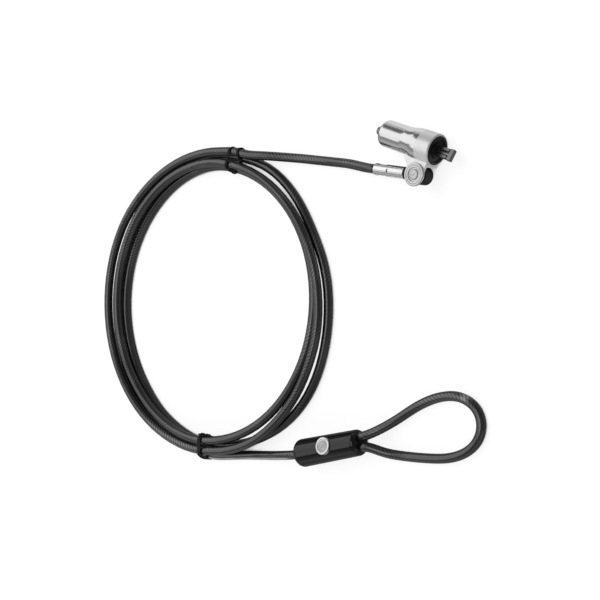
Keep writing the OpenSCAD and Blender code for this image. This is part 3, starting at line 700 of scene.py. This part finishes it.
def floor_material(stage):
    """A white table: a soft shadow, and a glow painted out as shade in deep gaps and mirrored only in part.
    """
    mat = bpy.data.materials.new("White Table")
    mat.use_nodes = True
    n = Nodes(mat.node_tree)
    n.tree.nodes.remove(n.tree.nodes["Principled BSDF"])
    matte = n.add("ShaderNodeBsdfDiffuse")
    matte.inputs["Color"].default_value = FLOOR_COLOUR
    path = n.add("ShaderNodeLightPath")
    x, y, _ = n.split(n.place())
    behind = n.times(n.between(x, *GLOW_BEHIND[0]), n.step(y, *GLOW_BEHIND[1]))
    before = n.times(n.between(x, *GLOW_BEFORE[0]), n.between(y, *GLOW_BEFORE[1]))
    ahead = n.times(n.between(x, *GLOW_AHEAD[0]), n.between(y, *GLOW_AHEAD[1]))
    lit = n.larger(n.larger(behind, ahead), n.times(before, GLOW_BEFORE_SHARE))
    mirrored = n.times(n.larger(path.outputs["Is Glossy Ray"], path.outputs["Is Transmission Ray"]),
                       n.math("MULTIPLY_ADD", lit, stage.head_glow, stage.floor_mirrored))
    # Painted shade: the glow is taken out where gaps close in, and more deeply on the coil's left side
    left = n.step(x, *LEFT_SIDE)
    open_sky = n.add("ShaderNodeAmbientOcclusion", samples=12)
    n.join(n.math("MULTIPLY_ADD", left, LEFT_REACH, GAP_REACH), open_sky.inputs["Distance"])
    openness = n.math("MULTIPLY_ADD", left, LEFT_OPENNESS, open_sky.outputs["AO"])
    seen = n.times(path.outputs["Is Camera Ray"], n.step(openness, *GAP_OPENNESS))
    glow = n.add("ShaderNodeEmission")
    n.join(n.math("ADD", n.times(seen, stage.floor_glow), mirrored), glow.inputs["Strength"])
    both = n.add("ShaderNodeAddShader")
    n.join(matte.outputs[0], both.inputs[0])
    n.join(glow.outputs[0], both.inputs[1])
    n.join(both.outputs[0], n.tree.nodes["Material Output"].inputs["Surface"])
    return mat


def studio_world(stage):
    """Grey surroundings with bright shapes that metal and gloss mirror, and plain white for the camera."""
    world = bpy.data.worlds.new("Studio")
    world.use_nodes = True
    n = Nodes(world.node_tree)
    n.tree.nodes.clear()
    x, y, z = n.split(n.add("ShaderNodeTexCoord").outputs["Generated"])
    turn = n.math("DEGREES", n.math("ARCTAN2", n.times(y, -1.0), n.times(x, -1.0)))
    rise = n.math("DEGREES", n.math("ARCSINE", n.larger(n.math("MINIMUM", z, 1.0), -1.0)))

    def box(turn_from, turn_to, rise_from, rise_to, soft):
        return n.times(n.between(turn, turn_from, turn_to, soft), n.between(rise, rise_from, rise_to, soft))

    low = n.times(n.step(turn, *LOW_TURN), n.math("MULTIPLY_ADD", n.step(rise, *LOW_FADE), 0.85, 0.15))
    low = n.times(low, n.step(rise, *LOW_END))
    level = n.math("MULTIPLY_ADD", low, stage.low_side - stage.sky, stage.sky)
    for shape, strength in ((HEAD_GLOW_BOX, stage.head_glow), (LONG_SOFTBOX, stage.softbox),
                            (HIGH_SOFTBOX, stage.softbox), (OVERHEAD_BOX, stage.overhead)):
        level = n.larger(level, n.times(box(*shape), strength))
    studio = n.add("ShaderNodeBackground")
    studio.inputs["Color"].default_value = (1, 1, 1, 1)
    n.join(level, studio.inputs["Strength"])
    white = n.add("ShaderNodeBackground")
    white.inputs["Color"].default_value = (1, 1, 1, 1)
    mix = n.add("ShaderNodeMixShader")
    n.join(n.add("ShaderNodeLightPath").outputs["Is Camera Ray"], mix.inputs[0])
    n.join(studio.outputs[0], mix.inputs[1])
    n.join(white.outputs[0], mix.inputs[2])
    n.join(mix.outputs[0], n.add("ShaderNodeOutputWorld").inputs["Surface"])
    return world


# ---------------------------------------------------------------- stage

def add_camera():
    """The camera, which looks down at the coil from beyond the head's tip."""
    ahead = Vector((math.cos(CAMERA_TURN), math.sin(CAMERA_TURN), 0))
    back = ahead * math.cos(CAMERA_TILT) + Vector((0, 0, math.sin(CAMERA_TILT)))
    right = ahead * math.sin(CAMERA_TILT) - Vector((0, 0, math.cos(CAMERA_TILT)))
    up = Vector((-math.sin(CAMERA_TURN), math.cos(CAMERA_TURN), 0))
    deselect()
    bpy.ops.object.camera_add()
    camera = bpy.context.object
    camera.name = "lock_camera"
    rows = [(right[i], up[i], back[i], CAMERA_AIM[i] + back[i] * CAMERA_DISTANCE) for i in range(3)]
    camera.matrix_world = Matrix((*rows, (0, 0, 0, 1)))
    camera.data.lens = CAMERA_LENS
    camera.data.sensor_width = CAMERA_SENSOR
    bpy.context.scene.camera = camera


def add_floor(stage):
    """The white table that the lock lies on."""
    deselect()
    bpy.ops.mesh.primitive_plane_add(size=FLOOR_SIZE)
    floor = bpy.context.object
    floor.name = "floor"
    floor.data.materials.append(floor_material(stage))


def add_lamp(name, place, size, power):
    """A softbox that looks at the coil, and that nothing mirrors."""
    deselect()
    bpy.ops.object.light_add(type="AREA", location=place)
    lamp = bpy.context.object
    lamp.name = name
    lamp.data.shape = "RECTANGLE"
    lamp.data.size, lamp.data.size_y = size
    lamp.data.energy = power
    lamp.visible_glossy = False
    lamp.rotation_euler = (LAMP_AIM - lamp.location).to_track_quat("-Z", "Y").to_euler()


class CABLELOCK_OT_stage(bpy.types.Operator):
    """Add the camera, the pale floor, the lamps and the surroundings"""
    bl_idname = "cablelock.stage"
    bl_label = "Stage"

    def execute(self, context):
        stage = context.scene.cable_lock_stage
        add_camera()
        add_floor(stage)
        context.scene.world = studio_world(stage)
        for lamp, power in zip(LAMPS, (stage.key, stage.fill)):
            add_lamp(*lamp, power)
        context.scene.view_settings.view_transform = "Standard"
        return {"FINISHED"}


# ---------------------------------------------------------------- ties

def strands_at(angle):
    """The turns that cross the angle, as their reach from the coil's middle and their height."""
    found = []
    for k in range(-1, math.ceil(COIL_TURNS)):
        t = (angle - START_ANGLE) / 360 + k
        if -0.1 < t < COIL_TO + 0.1:
            p = coil_point(t)
            found.append((math.hypot(p.x - COIL_CENTRE.x, p.y - COIL_CENTRE.y), p.z))
    return found


def hull(points):
    """The points on the outside of a flat set, in order round it."""
    points = sorted(set(points))

    def half(line):
        out = []
        for p in line:
            while len(out) > 1 and ((out[-1][0] - out[-2][0]) * (p[1] - out[-2][1])
                                    - (out[-1][1] - out[-2][1]) * (p[0] - out[-2][0])) <= 0:
                out.pop()
            out.append(p)
        return out[:-1]
    return half(points) + half(points[::-1])


def spaced(outline, count):
    """The closed outline drawn again with the number of points, at even steps."""
    line = [Vector(p) for p in outline]
    line.append(line[0])
    step = line_length(line) / count
    points, walked, goal = [], 0.0, 0.0
    for a, b in zip(line, line[1:]):
        size = (b - a).length
        while goal < walked + size - 1e-9 and len(points) < count:
            points.append(a.lerp(b, (goal - walked) / size))
            goal += step
        walked += size
    return points


def modified(obj, kind, **values):
    """Adds a modifier with the values and applies it."""
    make_active(obj)
    modifier = obj.modifiers.new(kind.title(), kind)
    for key, value in values.items():
        setattr(modifier, key, value)
    bpy.ops.object.modifier_apply(modifier=modifier.name)


def joined(pieces):
    """The pieces as one object."""
    make_active(pieces[0])
    for piece in pieces[1:]:
        piece.select_set(True)
    bpy.ops.object.join()
    return pieces[0]


def tie_strap(angle, width, thickness, lean):
    """A strap drawn tight round the turns, with the rib of its wire along its middle."""
    grow = TIE_BORE_R + thickness / 2
    ring = [(math.cos(math.radians(a)) * grow, math.sin(math.radians(a)) * grow) for a in range(0, 360, 12)]
    corners = [(reach + u, z + v) for reach, z in strands_at(angle) for u, v in ring]
    outline = spaced(hull(corners), TIE_OUTLINE_POINTS)
    lowest = min(z for _, z in outline)
    table = thickness / 2 if lowest < thickness else lowest
    middle = sum(outline, Vector((0, 0))) / len(outline)
    a = math.radians(angle)
    out, heading = Vector((math.cos(a), math.sin(a), 0)), Vector((-math.sin(a), math.cos(a), 0))
    deselect()
    bpy.ops.mesh.primitive_circle_add(vertices=len(outline), radius=0.01)
    strap = bpy.context.object
    for v, p in zip(strap.data.vertices, outline):
        v.co = (COIL_CENTRE + out * p.x + Vector((0, 0, max(p.y, table)))
                + heading * (lean * (p.x - middle.x) - width / 2))
    bpy.ops.object.mode_set(mode="EDIT")
    bpy.ops.mesh.select_all(action="SELECT")
    for share in (0.3, 0.2, 0.2, 0.3):
        bpy.ops.mesh.extrude_edges_move(TRANSFORM_OT_translate={"value": heading * width * share})
    bpy.ops.object.mode_set(mode="OBJECT")
    rib = len(outline) * 2
    for v in strap.data.vertices[rib:rib + len(outline)]:
        away = Vector(((v.co - COIL_CENTRE).dot(out) - middle.x, v.co.z - middle.y)).normalized()
        v.co += (out * away.x + Vector((0, 0, max(away.y, 0)))) * TIE_RIB
    modified(strap, "SOLIDIFY", thickness=thickness, offset=0)
    modified(strap, "BEVEL", width=TIE_BEVEL, segments=2)
    return strap


def tie_twist(place, heading, turns, size, wire):
    """The strap's two ends, twisted together: a row of small slanted rings and two cut stubs."""
    pieces = []
    for k in range(turns):
        slant = Matrix.Rotation(math.radians(24 if k % 2 else -20), 3, "Z")
        at = Vector(place) + Vector(heading) * (k - (turns - 1) / 2) * wire * 1.5
        deselect()
        bpy.ops.mesh.primitive_torus_add(
            location=at, rotation=(slant @ Vector(heading)).to_track_quat("Z", "Y").to_euler(),
            major_radius=size - wire / 2, minor_radius=wire / 2, major_segments=24, minor_segments=12)
        pieces.append(bpy.context.object)
    for sign in (1, -1):
        at = Vector(place) + Vector(heading) * sign * (turns + 0.4) * wire * 0.75
        outwards = Vector((heading[0] * sign, heading[1] * sign, -0.4))
        deselect()
        bpy.ops.mesh.primitive_cone_add(
            vertices=16, radius1=wire * 0.55, radius2=wire * 0.4, depth=wire * 2.2, location=at,
            rotation=outwards.to_track_quat("Z", "Y").to_euler())
        pieces.append(bpy.context.object)
        modified(pieces[-1], "BEVEL", width=wire * 0.12, segments=2)
    return pieces


def tie_loose_end():
    """The end of the bottom tie that runs out on the table."""
    line = flow(list(map(Vector, TIE_TAIL)), TIE_TAIL_STEP)
    return swept_tube("tie_tail", line, TIE_TAIL_R, 12, 0.001, 1)


def lead_band(thickness):
    """The top tie's band round the lead."""
    deselect()
    bpy.ops.mesh.primitive_cylinder_add(
        vertices=40, radius=LEAD_BAND_R, depth=LEAD_BAND_WIDTH, end_fill_type="NOTHING", location=LEAD_BAND,
        rotation=Vector(LEAD_BAND_DIR).to_track_quat("Z", "Y").to_euler())
    band = bpy.context.object
    modified(band, "SOLIDIFY", thickness=thickness, offset=0)
    modified(band, "BEVEL", width=TIE_BEVEL, segments=2)
    return band


class CABLELOCK_OT_ties(bpy.types.Operator):
    """Add the two ties that hold the coil, with their twisted ends"""
    bl_idname = "cablelock.ties"
    bl_label = "Ties"

    def execute(self, context):
        settings = context.scene.cable_lock_cable
        thickness = settings.tie_thickness
        black = finish_material("Tie Plastic", grey(0.003), grey(0.007), 0.0, 0.42, 0.12,
                                fine=2500, broad=400, bump=0.25, specular=0.3)
        for name, angle, share, lean, knot, turns, size in TIES:
            a = math.radians(angle)
            heading = Vector((-math.sin(a), math.cos(a), 0))
            pieces = [tie_strap(angle, settings.tie_width * share, thickness, lean)]
            pieces += tie_twist(knot, heading, turns, size, TIE_WIRE)
            pieces.append(lead_band(thickness) if name == "tie_top" else tie_loose_end())
            tie = joined(pieces)
            settle(tie, name + "_strap", black, "cable", name, slot="tie_plastic")
            make_active(tie)
            bpy.ops.object.shade_smooth_by_angle(angle=math.radians(40))
        return {"FINISHED"}


# ---------------------------------------------------------------- cable

class CABLELOCK_OT_cable(bpy.types.Operator):
    """Add the steel cable in its clear jacket, from the ferrule to the end of its loop"""
    bl_idname = "cablelock.cable"
    bl_label = "Cable"

    def execute(self, context):
        settings = context.scene.cable_lock_cable
        line = cable_route()
        cable = swept_tube("security_cable", line, settings.diameter / 2, settings.sides,
                           settings.strand_step, settings.strands)
        settle(cable, "security_cable", cable_material(settings), "cable", "cable_lead", "cable_coil",
               "cable_tail", "cable_loop", "cable_legs", slot="cable_jacket")
        return {"FINISHED"}


# ---------------------------------------------------------------- finishes

# Each finish: its name and pieces, its colour and its worn colour, how metallic and rough it is, how far the
# roughness spreads, and what else it has
FINISHES = (
    ("Satin Nickel", ("lock_casing",), (0.74, 0.74, 0.75), grey(0.80), 1.0, 0.14, 0.05,
     {"lines": (5000, 150, 150), "bump": 0.06, "satin_from": SATIN_FROM}),
    ("Drawn Ferrule", ("cable_ferrule",), grey(0.84), grey(0.9), 1.0, 0.16, 0.06,
     # Its first dark band is a painted dark reflection along the edge toward +Y
     {"lines": (150, 4000, 4000), "bump": 0.06,
      "dark_bands": (CABLE_EXIT, FERRULE_SIDE, FERRULE_R, FERRULE_DARK_BANDS)}),
    ("Hardened Steel", ("locking_tip", "guide_plate", "key_collar", "lock_spindle"),
     (0.26, 0.26, 0.265), grey(0.36), 1.0, 0.24, 0.12, {"bump": 0.2}),
    ("Nose Rubber", ("nose_pad",), grey(0.004), grey(0.008), 0.0, 0.36, 0.12, {"bump": 0.3, "specular": 0.4}),
    ("Black Coating", ("pivot_block", "swivel_retainer"), grey(0.003), grey(0.006), 0.0, 0.34, 0.12,
     {"bump": 0.2, "specular": 0.2}),
    ("Gloss Black Plastic", ("loop_sleeve",), grey(0.002), grey(0.004), 0.0, 0.09, 0.04,
     {"fine": 900, "bump": 0.03, "specular": 0.55}),
    ("Turned Brass", ("pin_block",), (0.62, 0.45, 0.20), (0.70, 0.54, 0.27), 1.0, 0.30, 0.12, {"bump": 0.15}),
    ("Plain Steel", ("key_pins", "driver_pins", "pin_springs", "block_screw", "tip_pin", "hinge_pin",
                     "hinge_washers", "swivel_stud"),
     (0.50, 0.50, 0.51), grey(0.60), 1.0, 0.28, 0.12, {"bump": 0.15}),
    ("Pressed Aluminium", ("loop_crimp",), (0.78, 0.78, 0.79), grey(0.84), 1.0, 0.30, 0.12, {"bump": 0.2}))


def finish(material, *nodes):
    """Gives the material to the nodes' solids."""
    for node in nodes:
        for slot in frame["nodes"][node].material_slots:
            slot.material = material


class CABLELOCK_OT_finishes(bpy.types.Operator):
    """Give the lock head, hinge, ferrule and sleeve their metal, rubber and plastic finishes"""
    bl_idname = "cablelock.finishes"
    bl_label = "Finishes"

    def execute(self, context):
        for name, nodes, colour, wear_and_shine, metallic, rough, spread, more in FINISHES:
            finish(finish_material(name, colour, wear_and_shine, metallic, rough, spread, **more), *nodes)
        finish(turned_material("Turned Nickel", HINGE, CAP_LEVELS, 0.3, 0.0005), "hinge_cap")
        low, high = (Vector(corner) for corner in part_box("sleeve_badge"))
        finish(turned_material("Satin Badge", (low + high) / 2, BADGE_LEVELS, 0.26, 0.0004), "sleeve_badge")
        return {"FINISHED"}


# ---------------------------------------------------------------- add-on

class CABLELOCK_PT_parts(bpy.types.Panel):
    """Lists the steps that make the cable lock"""
    bl_label = "Cable Lock"
    bl_space_type = "VIEW_3D"
    bl_region_type = "UI"
    bl_category = "Cable Lock"

    def draw(self, context):
        for step in STEPS:
            self.layout.operator(step)
        for group in (context.scene.cable_lock_cable, context.scene.cable_lock_stage):
            for name in group.bl_rna.properties.keys():
                if name not in {"rna_type", "name"}:
                    self.layout.prop(group, name)


STEPS = ("cablelock.stage", "cablelock.ties", "cablelock.cable", "cablelock.finishes")
CLASSES = (CableSettings, StageSettings, CABLELOCK_OT_stage, CABLELOCK_OT_ties, CABLELOCK_OT_cable,
           CABLELOCK_OT_finishes, CABLELOCK_PT_parts)


def register():
    for cls in CLASSES:
        bpy.utils.register_class(cls)
    bpy.types.Scene.cable_lock_cable = bpy.props.PointerProperty(type=CableSettings)
    bpy.types.Scene.cable_lock_stage = bpy.props.PointerProperty(type=StageSettings)


def unregister():
    del bpy.types.Scene.cable_lock_stage
    del bpy.types.Scene.cable_lock_cable
    for cls in reversed(CLASSES):
        bpy.utils.unregister_class(cls)


def main():
    register()
    bpy.ops.cablelock.stage()
    bpy.ops.cablelock.ties()
    bpy.ops.cablelock.cable()
    bpy.ops.cablelock.finishes()


if __name__ == "__main__":
    main()
